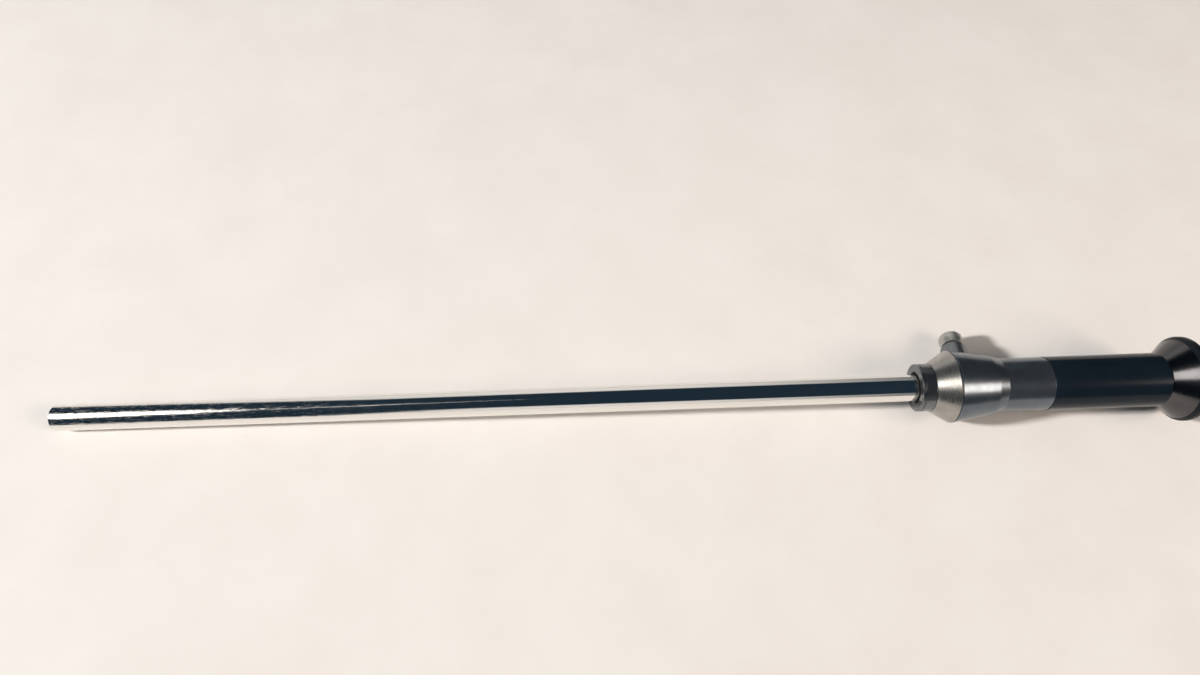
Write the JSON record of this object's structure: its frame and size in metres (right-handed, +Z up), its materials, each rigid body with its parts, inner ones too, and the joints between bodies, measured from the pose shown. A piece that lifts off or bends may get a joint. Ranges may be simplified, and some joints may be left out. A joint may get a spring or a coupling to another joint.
{
  "type": "rigid endoscope",
  "caption": "Rigid rod-lens endoscope with straight view: slim steel shaft, conical light housing with side light post, black grip and flared eyepiece.",
  "frame": {"origin": "bottom centre of the box, on the surface it lies on", "axes": "+X from the distal tip to the eyepiece, as it lies; +Y towards the side of the light post; +Z up"},
  "size_m": [0.432, 0.0426, 0.0318],
  "materials": {
    "shaft_steel": "satin drawn stainless tube, lightly scratched",
    "polished_steel": "turned and polished stainless steel",
    "satin_steel": "turned satin stainless steel",
    "inner_steel": "plain turned stainless steel",
    "inner_black": "black anodised",
    "black_sleeve": "fine matt black",
    "dark_anodised": "dark grey anodised, satin",
    "eyecup_black": "satin black, turned",
    "seal_rubber": "matt black",
    "fibre_glass": "bonded and polished fibre ends",
    "optical_glass": "polished, coated"
  },
  "bodies": {
    "root": {"adapter_seal": "seal_rubber", "barrel_seal": "seal_rubber", "centring_screws": "inner_steel", "collar_seal": "seal_rubber", "core_tube": "inner_steel", "eye_crown": "optical_glass", "eye_flint": "optical_glass", "eye_window": "optical_glass", "eyecup_ring": "eyecup_black", "eyepiece_funnel": "dark_anodised", "fibre_ferrule": "inner_steel", "field_lens": "optical_glass", "field_stop": "inner_black", "front_cone": "polished_steel", "grip_sleeve": "black_sleeve", "inner_adapter": "satin_steel", "lens_spacer_1": "inner_black", "lens_spacer_2": "inner_black", "lens_spacer_3": "inner_black", "lens_spacer_4": "inner_black", "lens_spacer_5": "inner_black", "lens_spacer_6": "inner_black", "lens_spacer_7": "inner_black", "light_fibres": "fibre_glass", "light_housing": "polished_steel", "negative_lens": "optical_glass", "objective_block": "optical_glass", "objective_crown": "optical_glass", "objective_flint": "optical_glass", "objective_spacer": "inner_black", "ocular_ring": "inner_black", "ocular_spacer": "inner_black", "ocular_tube": "inner_black", "optical_tube": "inner_steel", "outer_adapter": "satin_steel", "outer_tube": "shaft_steel", "post_stub": "inner_steel", "post_window": "optical_glass", "relay_achromat_1": "optical_glass", "relay_achromat_2": "optical_glass", "relay_achromat_3": "optical_glass", "relay_achromat_4": "optical_glass", "relay_achromat_5": "optical_glass", "relay_achromat_6": "optical_glass", "rod_lens_1": "optical_glass", "rod_lens_2": "optical_glass", "rod_lens_3": "optical_glass", "rod_lens_4": "optical_glass", "rod_lens_5": "optical_glass", "rod_lens_6": "optical_glass", "shaft_collar": "satin_steel", "spigot_seal": "seal_rubber", "tip_window": "optical_glass", "train_nut": "inner_black", "train_spring": "inner_steel", "window_ring": "inner_black", "window_seal": "seal_rubber"}
  },
  "joints": []
}
